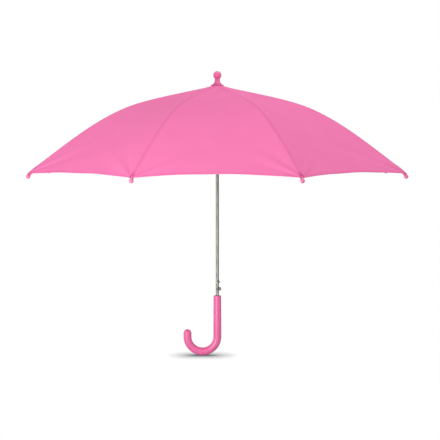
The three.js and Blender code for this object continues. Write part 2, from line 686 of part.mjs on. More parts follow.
function strapGeometry() {
  const over = (u, v) => strapPoint(u, 2 * v - 1, STRAP_LIFT + STRAP_THICKNESS);
  const under = (u, v) => strapPoint(u, 2 * v - 1, STRAP_LIFT);
  return slab(over, under, 8, 2);
}

function snapGeometry() {
  const top = SNAP_HEIGHT;
  return turned([
    [0, 0],
    [SNAP_RADIUS, 0],
    [SNAP_RADIUS, top - 0.9],
    [SNAP_RADIUS - 1.3, top],
    [0, top],
  ], 14);
}

// ---- Assembly ----

function piece(name, geometry, material) {
  const mesh = new THREE.Mesh(geometry, material);
  mesh.name = name;
  return mesh;
}

const umbrella = new THREE.Group();

umbrella.add(
  piece("shaft_tube", shaftTube(), platedSteel),
  piece("handle", handle(), plasticPink),
  piece("finial", finial(), plasticPink),
  piece("top_washer", topWasher(), plasticPink),
  piece("top_notch", topNotch(), plasticBlack),
  piece("notch_wire", ring(PIVOT_RADIUS, WIRE_RADIUS, NOTCH_PIVOT_Z), platedSteel),
  piece("notch_pin", crossPin(NOTCH_PIN_RADIUS, 2 * HUB_RADIUS - 2, 0, NOTCH_PIN_Z), platedSteel),
  piece("runner_stop_pin", crossPin(STOP_PIN_RADIUS, 9.6, 0, STOP_PIN_Z), platedSteel),
  piece("catch_leaf", catchLeaf(), brightSteel),
  piece("catch_pin", crossPin(CATCH_PIN_RADIUS, 6.4, CATCH_FOOT_X, CATCH_FOOT_Z), brightSteel),
  piece("release_button", releaseButton(), brightSteel),
  piece("upper_runner", upperRunner(), plasticBlack),
  piece("upper_runner_wire", ring(PIVOT_RADIUS, WIRE_RADIUS, UPPER_PIVOT_Z), platedSteel),
  piece("lower_runner", lowerRunner(), plasticBlack),
  piece("lower_runner_wire", ring(PIVOT_RADIUS, WIRE_RADIUS, LOWER_PIVOT_Z), platedSteel),
  piece("opening_spring", swept(SPRING_WIRE_RADIUS, 4, new SpringHelix(), SPRING_STEPS), platedSteel),
);

const ribShape = ribGeometry();
const tipShape = tipGeometry();
const stretcherShape = stretcherGeometry();
const strutShape = strutGeometry();
const panelShape = panelGeometry();
const [mouthX, mouthZ] = tipAxisPoint(TIP_MOUTH_AT);

for (let k = 0; k < RIBS; k += 1) {
  const spoke = new THREE.Group();
  spoke.rotation.z = SECTOR * (k + 0.5);
  const rib = piece(`rib_${k + 1}`, ribShape, platedSteel);
  const tip = piece(`rib_tip_${k + 1}`, tipShape, plasticPink);
  tip.position.set(mouthX, 0, mouthZ);
  tip.rotation.y = Math.PI / 2 + TIP_SLOPE;
  const stretcher = piece(`stretcher_${k + 1}`, stretcherShape, platedSteel);
  stretcher.position.set(PIVOT_RADIUS, 0, UPPER_PIVOT_Z);
  stretcher.rotation.y = OPEN_ANGLE - Math.PI / 2;
  const strut = piece(`push_strut_${k + 1}`, strutShape, platedSteel);
  strut.position.set(strutJointX, 0, strutJointZ);
  strut.rotation.y = Math.PI / 2 + STRUT_ANGLE;
  spoke.add(rib, tip, stretcher, strut);
  umbrella.add(spoke);

  const gore = new THREE.Group();
  gore.rotation.z = SECTOR * (k + 1);
  gore.add(piece(`canopy_panel_${k + 1}`, panelShape, fabric));
  umbrella.add(gore);
}

const STRAP_PANEL = 2;
const strap = new THREE.Group();
strap.rotation.z = SECTOR * STRAP_PANEL;
const onStrap = STRAP_LIFT + STRAP_THICKNESS + 2 * GAP;
const cap = piece("strap_snap_cap", snapGeometry(), brightSteel);
const stud = piece("strap_snap_stud", snapGeometry(), brightSteel);
for (const [snap, along] of [[cap, 0.93], [stud, 0.12]]) {
  const [x, , z] = strapPoint(along, 0, onStrap);
  const [x2, , z2] = strapPoint(along + 0.02, 0, onStrap);
  snap.position.set(x, 0, z);
  snap.rotation.y = Math.atan2(z - z2, x2 - x);
}
strap.add(piece("closing_strap", strapGeometry(), strapFabric), cap, stud);
umbrella.add(strap);

export default umbrella;
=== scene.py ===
# %% [markdown]
# # A child's pink umbrella
#
# The umbrella is open: a domed cloth canopy of eight panels on eight steel ribs, a thin steel
# shaft, and a moulded plastic handle with a hook. The mechanism comes from the CAD model. This
# notebook adds what cloth, thread and moulded plastic look like, piece by piece.

# %% Load the frame
import math

import bpy
import numpy as np
from mathutils import Matrix, Vector


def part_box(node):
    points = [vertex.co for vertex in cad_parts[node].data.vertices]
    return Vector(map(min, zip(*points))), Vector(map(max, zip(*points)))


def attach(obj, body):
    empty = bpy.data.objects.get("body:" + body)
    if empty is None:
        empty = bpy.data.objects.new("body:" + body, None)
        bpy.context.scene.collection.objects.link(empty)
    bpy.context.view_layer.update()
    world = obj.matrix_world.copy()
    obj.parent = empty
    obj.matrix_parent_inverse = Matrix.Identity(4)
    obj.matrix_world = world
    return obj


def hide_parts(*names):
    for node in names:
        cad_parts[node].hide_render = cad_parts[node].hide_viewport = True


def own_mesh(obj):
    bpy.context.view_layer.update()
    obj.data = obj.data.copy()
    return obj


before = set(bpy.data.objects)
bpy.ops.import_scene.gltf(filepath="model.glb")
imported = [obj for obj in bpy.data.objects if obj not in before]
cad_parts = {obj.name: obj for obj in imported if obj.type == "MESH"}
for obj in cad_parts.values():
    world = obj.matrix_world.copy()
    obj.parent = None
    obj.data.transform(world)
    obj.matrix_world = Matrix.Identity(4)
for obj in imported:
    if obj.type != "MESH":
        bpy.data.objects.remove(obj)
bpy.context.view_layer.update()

# %% [markdown]
# Every size below is in millimetres and becomes metres where a mesh is made. The origin is on
# the shaft's axis in the middle of the grip, and +Z runs up the shaft.

# %% Sizes that several pieces share
MM = 0.001
RIBS = 8
SECTOR = 2 * math.pi / RIBS
HALF_SECTOR = SECTOR / 2

HOOK_RADIUS = 34.1
HOOK_CENTRE_Z = -46.6
HOOK_END_Z = -29.6
HANDLE_BOTTOM_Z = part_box("handle")[0].z / MM

rib_angles = [SECTOR * (k + 0.5) for k in range(RIBS)]
panel_angles = [SECTOR * (k + 1) for k in range(RIBS)]
print("the lowest point of the handle is at", round(HANDLE_BOTTOM_Z, 1), "mm")

# %% [markdown]
# ## Small helpers
#
# A mesh is made from arrays of points and faces. A turned piece is a profile spun round Z, and
# a slab is a sheet with an upper and a lower side. Both close themselves, so that the normals
# can be trusted to point outwards.

# %% Meshes from arrays
def new_object(name, points, faces):
    mesh = bpy.data.meshes.new(name)
    mesh.from_pydata([tuple(p) for p in np.asarray(points, float) * MM], [], faces)
    mesh.polygons.foreach_set("use_smooth", [True] * len(mesh.polygons))
    mesh.update()
    made = bpy.data.objects.new(name, mesh)
    bpy.context.scene.collection.objects.link(made)
    return made


def turned(profile, sides):
    """Points and faces of a profile of (radius, height), listed upwards along its outside."""
    points = []
    rings = []
    for radius, height in profile:
        if radius < 1e-6:
            rings.append([len(points)] * sides)
            points.append((0, 0, height))
            continue
        rings.append(list(range(len(points), len(points) + sides)))
        for j in range(sides):
            angle = 2 * math.pi * j / sides
            points.append((radius * math.cos(angle), radius * math.sin(angle), height))
    faces = []
    for low, high in zip(rings, rings[1:]):
        for j in range(sides):
            k = (j + 1) % sides
            corners = [low[j], low[k], high[k], high[j]]
            faces.append([c for i, c in enumerate(corners) if c not in corners[:i]])
    return points, faces


def slab(over, under):
    """Points and faces of a closed sheet from two grids of points, of shape (rows, columns, 3)."""
    rows, columns = over.shape[:2]
    points = np.concatenate([over.reshape(-1, 3), under.reshape(-1, 3)])
    at = np.arange(rows * columns).reshape(rows, columns)
    low = at + rows * columns
    faces = []
    for i in range(rows - 1):
        for j in range(columns - 1):
            faces.append([at[i, j], at[i + 1, j], at[i + 1, j + 1], at[i, j + 1]])
            faces.append([low[i, j], low[i, j + 1], low[i + 1, j + 1], low[i + 1, j]])
        faces.append([at[i, 0], low[i, 0], low[i + 1, 0], at[i + 1, 0]])
        faces.append([at[i, -1], at[i + 1, -1], low[i + 1, -1], low[i, -1]])
    for j in range(columns - 1):
        faces.append([at[0, j], at[0, j + 1], low[0, j + 1], low[0, j]])
        faces.append([at[-1, j], low[-1, j], low[-1, j + 1], at[-1, j + 1]])
    return points, [[int(c) for c in face] for face in faces]


def bezier(start, pull_start, pull_end, end, count):
    t = np.linspace(0, 1, count)[:, None]
    a, b, c, d = (np.asarray(p, float) for p in (start, pull_start, pull_end, end))
    curve = a * (1 - t) ** 3 + 3 * b * t * (1 - t) ** 2 + 3 * c * t * t * (1 - t) + d * t ** 3
    return [tuple(p) for p in curve]


def arc(radius, height, start, end, count):
    """Profile points of a ball: start and end are degrees up from its equator."""
    angles = np.radians(np.linspace(start, end, count))
    return [(radius * math.cos(a), height + radius * math.sin(a)) for a in angles]


def spun(points, azimuth):
    """Points drawn over +X, turned to their place round the shaft."""
    turn = np.array(Matrix.Rotation(azimuth, 3, "Z"))
    return np.asarray(points, float) @ turn.T


print("mesh helpers are ready")

# %% [markdown]
# ## Nodes
#
# One function adds a node to any tree, sets its settings and links or fills its inputs. A colour
# is written as an sRGB hex value and turned to the linear numbers that the shader wants.

# %% One function for nodes, one for colours
def add(tree, kind, inputs=None, **settings):
    node = tree.nodes.new(kind)
    for setting, value in settings.items():
        setattr(node, setting, value)
    for socket, value in (inputs or {}).items():
        if isinstance(value, bpy.types.NodeSocket):
            tree.links.new(value, node.inputs[socket])
        else:
            node.inputs[socket].default_value = value
    return node


def linear(hex_colour):
    parts = [int(hex_colour[i:i + 2], 16) / 255 for i in (0, 2, 4)]
    return (*[c / 12.92 if c <= 0.04045 else ((c + 0.055) / 1.055) ** 2.4 for c in parts], 1)


def new_material(name, **shader_values):
    made = bpy.data.materials.new(name)
    made.use_nodes = True
    shader = made.node_tree.nodes["Principled BSDF"]
    for socket, value in shader_values.items():
        shader.inputs[socket.replace("_", " ")].default_value = value
    return made, made.node_tree, shader


def mixed(tree, share, colour_a, colour_b):
    """A colour between two hex colours, by a share."""
    inputs = {"Factor": share, 6: linear(colour_a), 7: linear(colour_b)}
    return add(tree, "ShaderNodeMix", inputs, data_type="RGBA").outputs[2]


def object_noise(tree, size_mm, stretch=(1, 1, 1), detail=2):
    """Noise whose features are about size_mm across, stretched along the object's axes."""
    place = add(tree, "ShaderNodeTexCoord").outputs["Object"]
    placed = add(tree, "ShaderNodeMapping", {"Vector": place, "Scale": stretch}).outputs[0]
    scale = 1 / (size_mm * MM)
    inputs = {"Vector": placed, "Scale": scale, "Detail": detail}
    return add(tree, "ShaderNodeTexNoise", inputs).outputs["Fac"]


def ranged(tree, value, low, high):
    inputs = {"Value": value, "To Min": low, "To Max": high}
    return add(tree, "ShaderNodeMapRange", inputs).outputs[0]


def bumped(tree, shader, height, depth_mm, strength):
    inputs = {"Height": height, "Distance": depth_mm * MM, "Strength": strength}
    bump = add(tree, "ShaderNodeBump", inputs)
    tree.links.new(bump.outputs[0], shader.inputs["Normal"])


print("pink is", [round(c, 3) for c in linear("f078ae")])

# %% [markdown]
# ## Canopy cloth
#
# The canopy is polyester pongee: a light plain weave of filament yarn with a water-repellent
# finish. Filament yarn gives a soft sheen where the cloth turns away from the eye, and the
# weave itself is a fine chequer of threads. Real threads are about 0.25 mm apart. They are drawn
# 0.9 mm apart here, because finer ones would not show at all. The pattern reads the cloth's own
# UV map, which is in metres along and across the cloth, so that it follows each panel.

# %% Polyester pongee
THREAD_PITCH = 0.9


def woven_height(tree, pitch_mm):
    """A plain weave's height: over in one square, under in the next."""
    cloth = add(tree, "ShaderNodeUVMap", uv_map="cloth").outputs[0]
    split = add(tree, "ShaderNodeSeparateXYZ", {0: cloth})
    waves = []
    for axis in ("X", "Y"):
        turns = math.pi / (pitch_mm * MM)
        phase = add(tree, "ShaderNodeMath", {0: split.outputs[axis], 1: turns}, operation="MULTIPLY")
        waves.append(add(tree, "ShaderNodeMath", {0: phase.outputs[0]}, operation="SINE").outputs[0])
    inputs = {0: waves[0], 1: waves[1]}
    return add(tree, "ShaderNodeMath", inputs, operation="MULTIPLY").outputs[0]


def pongee_material():
    made, tree, shader = new_material(
        "polyester pongee, plain woven",
        Roughness=0.7, Specular_IOR_Level=0.1, Sheen_Weight=0.03, Sheen_Roughness=0.5,
        Sheen_Tint=linear("f3a9cd"), IOR=1.45,
    )
    cloudy = object_noise(tree, 45)
    shade = ranged(tree, cloudy, 0.0, 1.0)
    dyed = mixed(tree, shade, "f077ae", "f37db3")
    # Painted shade: a point attribute of the cloth mixes in a deeper pink where the cloth is doubled
    # and in the crease at each tip.
    painted_seam_shade = add(tree, "ShaderNodeAttribute", attribute_name="layers_and_shade").outputs["Fac"]
    inputs = {"Factor": painted_seam_shade, 6: dyed, 7: linear("c93a80")}
    dyed_and_shaded = add(tree, "ShaderNodeMix", inputs, data_type="RGBA").outputs[2]
    tree.links.new(dyed_and_shaded, shader.inputs["Base Color"])
    bumped(tree, shader, woven_height(tree, THREAD_PITCH), 0.05, 0.5)
    return made


PONGEE = pongee_material()
print(PONGEE.name, "with threads", THREAD_PITCH, "mm apart")

# %% [markdown]
# ## Sewing thread and strap webbing
#
# The seams are sewn with a spun polyester thread a shade deeper than the cloth. Spun thread is
# matt and slightly hairy. The closing strap is the canopy's cloth folded double, so it keeps the
# same weave with a firmer, flatter face.

# %% Spun thread and doubled cloth
def thread_material():
    made, tree, shader = new_material("spun polyester thread", Roughness=0.8, Sheen_Weight=0.3)
    twist = object_noise(tree, 0.6)
    tree.links.new(mixed(tree, twist, "d9598f", "e878aa"), shader.inputs["Base Color"])
    return made


def strap_material():
    made, tree, shader = new_material(
        "pongee folded double, sewn strap", Roughness=0.66, Sheen_Weight=0.2, IOR=1.45,
    )
    tree.links.new(mixed(tree, object_noise(tree, 8), "e66fa6", "ef7db2"), shader.inputs["Base Color"])
    bumped(tree, shader, woven_height(tree, 1.1), 0.07, 0.6)
    return made


THREAD = thread_material()
STRAP_CLOTH = strap_material()
print("thread and strap cloth are ready")

# %% [markdown]
# ## Moulded plastics
#
# The handle, the rib tips and the finial are injection-moulded ABS in the canopy's pink. A
# polished mould leaves a glossy skin with a very shallow waviness, where the plastic shrank on
# cooling, and handling leaves patches that are slightly less bright. The black runners are
# nylon, which is duller, because a filled nylon copies a bead-blasted mould.

# %% ABS and nylon
def abs_material(name, deep, pale, roughness):
    made, tree, shader = new_material(name, IOR=1.53, Coat_Weight=0.1, Coat_Roughness=0.15)
    handled = object_noise(tree, 30)
    tree.links.new(mixed(tree, handled, deep, pale), shader.inputs["Base Color"])
    dulled = ranged(tree, handled, roughness, roughness + 0.12)
    tree.links.new(dulled, shader.inputs["Roughness"])
    bumped(tree, shader, object_noise(tree, 9, detail=1), 0.012, 0.12)
    return made


def nylon_material():
    made, tree, shader = new_material("black nylon, moulded", IOR=1.53)
    grain = object_noise(tree, 0.5)
    tree.links.new(mixed(tree, grain, "161618", "242427"), shader.inputs["Base Color"])
    tree.links.new(ranged(tree, grain, 0.42, 0.6), shader.inputs["Roughness"])
    bumped(tree, shader, grain, 0.02, 0.4)
    return made


ABS_PINK = abs_material("ABS, moulded pink", "f06fa9", "f377ae", 0.3)
ABS_DEEP = abs_material("ABS, moulded deep pink", "df5ea5", "e66cae", 0.3)
NYLON = nylon_material()
print(ABS_PINK.name, "/", ABS_DEEP.name, "/", NYLON.name)

# %% [markdown]
# ## Metals
#
# The shaft is a drawn steel tube with a satin nickel plate. Drawing leaves very fine lines along
# its length. The ribs, stretchers and struts are zinc-plated strip and wire, greyer and more
# uneven. The spring and the wire rings are bright drawn wire, and the press stud on the strap is
# nickel-plated brass.

# %% Plated and drawn steel
def steel_material(name, dark, pale, roughness, line_mm, stretch=(1, 1, 1)):
    made, tree, shader = new_material(name, Metallic=1.0)
    lines = object_noise(tree, line_mm, stretch, detail=3)
    tree.links.new(mixed(tree, lines, dark, pale), shader.inputs["Base Color"])
    tree.links.new(ranged(tree, lines, roughness, roughness + 0.14), shader.inputs["Roughness"])
    bumped(tree, shader, lines, 0.01, 0.3)
    return made


ALONG_THE_SHAFT = (1, 1, 0.02)
TUBE_STEEL = steel_material(
    "satin nickel plate on drawn tube", "7d7d77", "93938c", 0.28, 0.4, ALONG_THE_SHAFT,
)
STRIP_STEEL = steel_material("zinc plate on rolled strip", "9d9fa0", "b9bbbb", 0.34, 1.2)
WIRE_STEEL = steel_material("bright drawn spring wire", "8f8f8c", "adada8", 0.22, 0.5)
STUD_NICKEL = steel_material("nickel plate on brass", "c2c1bd", "d6d5d0", 0.15, 0.8)
print("four metals are ready")

# %% [markdown]
# ## Geometry Nodes that the pieces share
#
# Three small trees do the repeated work. The first runs a round bar along a path, with a girth
# for each point: the handle, the spring and the ties are made by it. The second lays stitches
# along a path, each one a short thread that lies along the seam. The third sets a rivet's head
# wherever a point says which way the head looks.

# %% Building and baking a tree
def new_tree(name, named_inputs):
    tree = bpy.data.node_groups.new(name, "GeometryNodeTree")
    tree.interface.new_socket("Geometry", in_out="INPUT", socket_type="NodeSocketGeometry")
    for label, (kind, value) in named_inputs.items():
        socket = tree.interface.new_socket(label, in_out="INPUT", socket_type=kind)
        socket.default_value = value
    tree.interface.new_socket("Material", in_out="INPUT", socket_type="NodeSocketMaterial")
    tree.interface.new_socket("Geometry", in_out="OUTPUT", socket_type="NodeSocketGeometry")
    return tree, add(tree, "NodeGroupInput").outputs


def finish_tree(tree, geometry, given):
    real = add(tree, "GeometryNodeRealizeInstances", {"Geometry": geometry})
    inputs = {"Geometry": real.outputs[0], "Material": given["Material"]}
    painted = add(tree, "GeometryNodeSetMaterial", inputs)
    add(tree, "NodeGroupOutput", {0: painted.outputs[0]})


def grown(name, tree, guide, material, **values):
    """Runs a tree on a guide object and returns the result as a plain mesh object."""
    modifier = guide.modifiers.new(name, "NODES")
    modifier.node_group = tree
    values["Material"] = material
    for item in tree.interface.items_tree:
        if item.in_out == "INPUT" and item.name in values:
            modifier[item.identifier] = values[item.name]
    depsgraph = bpy.context.evaluated_depsgraph_get()
    mesh = bpy.data.meshes.new_from_object(guide.evaluated_get(depsgraph))
    mesh.name = name
    guide.modifiers.remove(modifier)
    bpy.data.objects.remove(guide)
    made = bpy.data.objects.new(name, mesh)
    bpy.context.scene.collection.objects.link(made)
    return made


def path_object(paths, girths=None):
    """Paths of points in millimetres as loose edges. girths gives each point's share of the radius."""
    points = np.concatenate([np.asarray(p, float) for p in paths])
    edges = []
    start = 0
    for path in paths:
        edges += [(start + i, start + i + 1) for i in range(len(path) - 1)]
        start += len(path)
    mesh = bpy.data.meshes.new("guide")
    mesh.from_pydata([tuple(p) for p in points * MM], edges, [])
    layer = mesh.attributes.new("girth", "FLOAT", "POINT")
    layer.data.foreach_set("value", np.ones(len(points)) if girths is None else girths)
    made = bpy.data.objects.new("guide", mesh)
    bpy.context.scene.collection.objects.link(made)
    return made


print("trees can be built and baked")

# %% A bar along a path
def bar_tree():
    tree, given = new_tree("bar along a path", {
        "Radius": ("NodeSocketFloat", 0.001),
        "Sides": ("NodeSocketInt", 12),
        "Crease": ("NodeSocketFloat", 0.6),
    })
    line = add(tree, "GeometryNodeMeshToCurve", {"Mesh": given["Geometry"]})
    girth = add(tree, "GeometryNodeInputNamedAttribute", {"Name": "girth"}, data_type="FLOAT")
    inputs = {"Resolution": given["Sides"], "Radius": given["Radius"]}
    section = add(tree, "GeometryNodeCurvePrimitiveCircle", inputs, mode="RADIUS")
    inputs = {
        "Curve": line.outputs[0], "Profile Curve": section.outputs[0],
        "Scale": girth.outputs["Attribute"], "Fill Caps": True,
    }
    bar = add(tree, "GeometryNodeCurveToMesh", inputs)
    smooth = add(tree, "GeometryNodeSetShadeSmooth", {"Geometry": bar.outputs[0]}, domain="FACE")
    angle = add(tree, "GeometryNodeInputMeshEdgeAngle")
    inputs = {0: angle.outputs["Unsigned Angle"], 1: given["Crease"]}
    sharp = add(tree, "FunctionNodeCompare", inputs, operation="GREATER_THAN")
    inputs = {"Geometry": smooth.outputs[0], "Selection": sharp.outputs[0], "Shade Smooth": False}
    creased = add(tree, "GeometryNodeSetShadeSmooth", inputs, domain="EDGE")
    finish_tree(tree, creased.outputs[0], given)
    return tree


BAR = bar_tree()
print(BAR.name, "has", len(BAR.nodes), "nodes")

# %% Stitches along a path
def stitch_tree():
    tree, given = new_tree("stitches along a path", {
        "Spacing": ("NodeSocketFloat", 0.003),
        "Length": ("NodeSocketFloat", 0.0023),
        "Thickness": ("NodeSocketFloat", 0.0003),
    })
    line = add(tree, "GeometryNodeMeshToCurve", {"Mesh": given["Geometry"]})
    inputs = {"Curve": line.outputs[0], "Length": given["Spacing"]}
    spaced = add(tree, "GeometryNodeCurveToPoints", inputs, mode="LENGTH")
    ball = add(tree, "GeometryNodeMeshIcoSphere", {"Radius": 0.5, "Subdivisions": 1})
    inputs = {0: given["Length"], 1: given["Thickness"], 2: given["Thickness"]}
    size = add(tree, "ShaderNodeCombineXYZ", inputs)
    along = add(
        tree, "FunctionNodeAlignRotationToVector", {"Vector": spaced.outputs["Tangent"]}, axis="X",
    )
    inputs = {
        "Points": spaced.outputs[0], "Instance": ball.outputs[0],
        "Rotation": along.outputs[0], "Scale": size.outputs[0],
    }
    laid = add(tree, "GeometryNodeInstanceOnPoints", inputs)
    finish_tree(tree, laid.outputs[0], given)
    return tree


STITCH = stitch_tree()
print(STITCH.name, "has", len(STITCH.nodes), "nodes")

# %% Rivet heads at points
def rivet_tree():
    tree, given = new_tree("rivet heads at points", {
        "Radius": ("NodeSocketFloat", 0.0016),
        "Height": ("NodeSocketFloat", 0.0009),
    })
    dome = add(tree, "GeometryNodeMeshUVSphere", {"Segments": 16, "Rings": 10, "Radius": 1.0})
    smooth = add(tree, "GeometryNodeSetShadeSmooth", {"Geometry": dome.outputs[0]})
    inputs = {0: given["Radius"], 1: given["Radius"], 2: given["Height"]}
    size = add(tree, "ShaderNodeCombineXYZ", inputs)
    looks = add(
        tree, "GeometryNodeInputNamedAttribute", {"Name": "looks"}, data_type="FLOAT_VECTOR",
    )
    facing = add(
        tree, "FunctionNodeAlignRotationToVector", {"Vector": looks.outputs["Attribute"]}, axis="Z",
    )
    inputs = {
        "Points": given["Geometry"], "Instance": smooth.outputs[0],
        "Rotation": facing.outputs[0], "Scale": size.outputs[0],
    }
    set_in = add(tree, "GeometryNodeInstanceOnPoints", inputs)
    finish_tree(tree, set_in.outputs[0], given)
    return tree


RIVET = rivet_tree()
print(RIVET.name, "has", len(RIVET.nodes), "nodes")

# %% [markdown]
# ## The curve of the ribs
#
# A bent rib starts almost straight and curls more and more towards its tip. Its slope is given
# by a rule, and adding up small steps along that slope gives the curve. The cloth lies on it.

# %% The rib's curve
RIB_START = (8.0, 520.6)
CROWN_SLOPE = math.radians(11.5)
INNER_TURN = math.radians(6)
OUTER_TURN = math.radians(19)
OUTER_POWER = 2.7
JOINT_AT = 191.5
CURVE_LENGTH = 470
STEP = 0.5


def rib_slope(s):
    s = np.asarray(s, float)
    inner = CROWN_SLOPE + INNER_TURN * (np.clip(s, 0, JOINT_AT) / JOINT_AT) ** 4
    left = np.clip(1 - (s - JOINT_AT) / (CURVE_LENGTH - JOINT_AT), 0, 1)
    return inner + np.where(s < JOINT_AT, 0, OUTER_TURN * (1 - left ** OUTER_POWER))


rib_stations = np.arange(-6, 500, STEP)
middles = rib_slope(rib_stations[:-1] + STEP / 2)
rib_reach = np.concatenate([[0], np.cumsum(STEP * np.cos(middles))])
rib_height = -np.concatenate([[0], np.cumsum(STEP * np.sin(middles))])
start_index = int(np.searchsorted(rib_stations, 0))
rib_reach += RIB_START[0] - rib_reach[start_index]
rib_height += RIB_START[1] - rib_height[start_index]


def rib_point(s, lift=0.0):
    slope = rib_slope(s)
    reach = np.interp(s, rib_stations, rib_reach) + lift * np.sin(slope)
    return reach, np.interp(s, rib_stations, rib_height) + lift * np.cos(slope)


print("the rib's curve reaches", round(float(rib_point(CURVE_LENGTH)[0]), 1), "mm out")

# %% [markdown]
# ## Canopy
#
# Eight gores are cut flat, sewn edge to edge and pulled tight over the ribs. Each one is hollow
# between its ribs, its hem is a shallow arc, and the pull of the two tips leaves faint fans of
# folds at its lower corners. Cloth under tension is described by rules better than by a
# simulation, so every gore is a fine grid of points on one curved surface. Neighbours share the
# very same edge, until they part round the tip's sleeve. The hem is folded under, and the seam
# allowances lie inside along the ribs.

# %% A point of the cloth
FABRIC_LIFT = 2.3
FABRIC_START = -3.6
FABRIC_END = 478
HEM_SCALLOPS = (10, 12, 11, 12, 9, 12, 10.5, 11)  # no two gores are cut quite alike
PANEL_HOLLOW = 4
CLOTH_THICKNESS = 0.3
HEM_WIDTH = 7
SEAM_WIDTH = 4
FOLD_TURNS = 8.5  # how closely the folds of a corner fan out
FOLD_HEIGHT = 3.2
FOLD_START = 18  # the folds begin this far from the tip and die away over the reach
FOLD_REACH = 60
PUCKER_HEIGHT = 0.16  # a seam puckers a little between its stitches
PUCKER_PITCH = 13
PUCKER_REACH = 5
GROOVE_DEPTH = 0.3
CORNER_GROOVE_DEPTH = 1.8
CORNER_GROOVE_REACH = 14
GROOVE_HALF_WIDTH = 1.7
SLIT_HALF_WIDTH = 2.6  # the two corners part round the tip's sleeve
SLIT_LENGTH = 15
SLIT_REACH = 8
FLUTTER_HEIGHT = 0.5  # a free hem is never quite still
FLUTTER_REACH = 10
CROWN_RISE = 1.6  # eight seam allowances meet under the washer
CROWN_REACH = 16


def fading(distance, reach):
    return np.exp(-np.maximum(distance, 0) / reach)


def folds(from_rib, from_hem, along, phase):
    """The cloth's own relief in millimetres, near one of a panel's two ribs."""
    spread = np.hypot(from_rib, from_hem)
    turn = np.arctan2(from_rib, from_hem + 1e-6)
    fan = np.sin(np.clip(turn, 0, math.pi / 2) * 2) ** 2 * np.sin(FOLD_TURNS * turn + phase)
    fan = fan * FOLD_HEIGHT * fading(spread, FOLD_REACH) * (1 - np.exp(-(spread / FOLD_START) ** 2))
    ripple = np.sin(2 * math.pi * along * FABRIC_END / PUCKER_PITCH + phase)
    pucker = PUCKER_HEIGHT * ripple * fading(from_rib, PUCKER_REACH)
    depth = GROOVE_DEPTH + CORNER_GROOVE_DEPTH * fading(from_hem, CORNER_GROOVE_REACH)
    groove = -depth * np.exp(-(from_rib / GROOVE_HALF_WIDTH) ** 2)
    return fan + pucker * (1 - np.exp(-(from_rib / 1.5) ** 2)) + groove


def cloth_point(along, across, panel, sink=0.0):
    """Points of a panel drawn over +X, and how far each is from the nearer rib and from the hem."""
    cut_back = HEM_SCALLOPS[panel - 1] * (1 - across ** 2)
    s = FABRIC_START + (FABRIC_END - cut_back - FABRIC_START) * along
    reach, height = rib_point(s, FABRIC_LIFT)
    half_width = reach * math.sin(HALF_SECTOR)
    slope = np.arctan(np.tan(rib_slope(s)) / math.cos(HALF_SECTOR))
    from_hem = (1 - along) * FABRIC_END
    rise = -PANEL_HOLLOW * np.sin(math.pi * along) * (1 - across ** 2)
    for side in (-1, 1):
        from_rib = half_width * (1 - side * across)
        phase = 2.1 * panel + 1.3 * side
        rise = rise + folds(from_rib, from_hem, along, phase)
    flutter = FLUTTER_HEIGHT * np.sin(2.7 * math.pi * across + panel) * (1 - across ** 2)
    gathered = CROWN_RISE * np.exp(-(np.maximum(s, 0) / CROWN_REACH) ** 2)
    rise = rise + flutter * fading(from_hem, FLUTTER_REACH) + gathered - sink
    from_rib = half_width * (1 - np.abs(across))
    slit = np.sqrt(np.clip(1 - from_hem / SLIT_LENGTH, 0, 1))
    parted = SLIT_HALF_WIDTH * slit * fading(from_rib, SLIT_REACH)
    x = reach * math.cos(HALF_SECTOR) + rise * np.sin(slope)
    y = half_width * across - parted * np.sign(across)
    return np.stack([x, y, height + rise * np.cos(slope)], -1), from_rib, from_hem


middle_of_hem = cloth_point(np.array(1.0), np.array(0.0), 6)[0]
print("the middle of a hem is at", np.round(middle_of_hem, 1))

# %% The eight panels
ROWS = np.concatenate([np.linspace(0, 0.955, 92)[:-1], np.linspace(0.955, 1, 15)])
EVENLY = np.linspace(-1, 1, 61)
ACROSS = 0.55 * np.sin(EVENLY * math.pi / 2) + 0.45 * EVENLY  # closer together near the ribs
EDGE_SHARPNESS = 2.5  # of a doubled strip's inner edge
DOUBLED_SHADE = 0.12  # painted shade where less light shines through the doubled cloth, as shares of the deeper pink
CREASE_SHADE = 0.9  # painted shade in the crease where two gores meet at a tip
CREASE_LENGTH = 18
CREASE_HALF_WIDTH = 3.4


def cloth_layers(from_rib, from_hem):
    """1 where the cloth is doubled, in the hem and in the seam allowances, and 0 elsewhere."""
    in_hem = 1 / (1 + np.exp((from_hem - HEM_WIDTH) * EDGE_SHARPNESS))
    in_seam = 1 / (1 + np.exp((from_rib - SEAM_WIDTH) * EDGE_SHARPNESS))
    return np.maximum(in_hem, in_seam)


def canopy_panel(panel, azimuth):
    along, across = np.meshgrid(ROWS, ACROSS, indexing="ij")
    over, from_rib, from_hem = cloth_point(along, across, panel)
    layers_and_shade = cloth_layers(from_rib, from_hem)
    under = cloth_point(along, across, panel, CLOTH_THICKNESS * (1 + layers_and_shade))[0]
    points, faces = slab(spun(over, azimuth), spun(under, azimuth))
    made = new_object(f"canopy_cloth_{panel}", points, faces)
    mesh = made.data
    # Painted shade: the colour darkens towards a deeper pink in the doubled hem and seam allowances,
    # where less light shines through, and in the crease at each tip.
    crease = np.exp(-(from_hem / CREASE_LENGTH) ** 2) * np.exp(-(from_rib / CREASE_HALF_WIDTH) ** 4)
    deeper = np.maximum(DOUBLED_SHADE * layers_and_shade, CREASE_SHADE * crease)
    painted_shade_layer = mesh.attributes.new("layers_and_shade", "FLOAT", "POINT")
    painted_shade_layer.data.foreach_set("value", np.tile(deeper.ravel(), 2))
    laid_flat = np.tile(np.stack([over[..., 1], along * FABRIC_END], -1).reshape(-1, 2), (2, 1))
    corners = np.zeros(len(mesh.loops), int)
    mesh.loops.foreach_get("vertex_index", corners)
    mesh.uv_layers.new(name="cloth").data.foreach_set("uv", (laid_flat[corners] * MM).ravel())
    mesh.materials.append(PONGEE)
    return made


panels = [canopy_panel(k + 1, panel_angles[k]) for k in range(RIBS)]
print(len(panels), "panels of", len(panels[0].data.polygons), "faces")

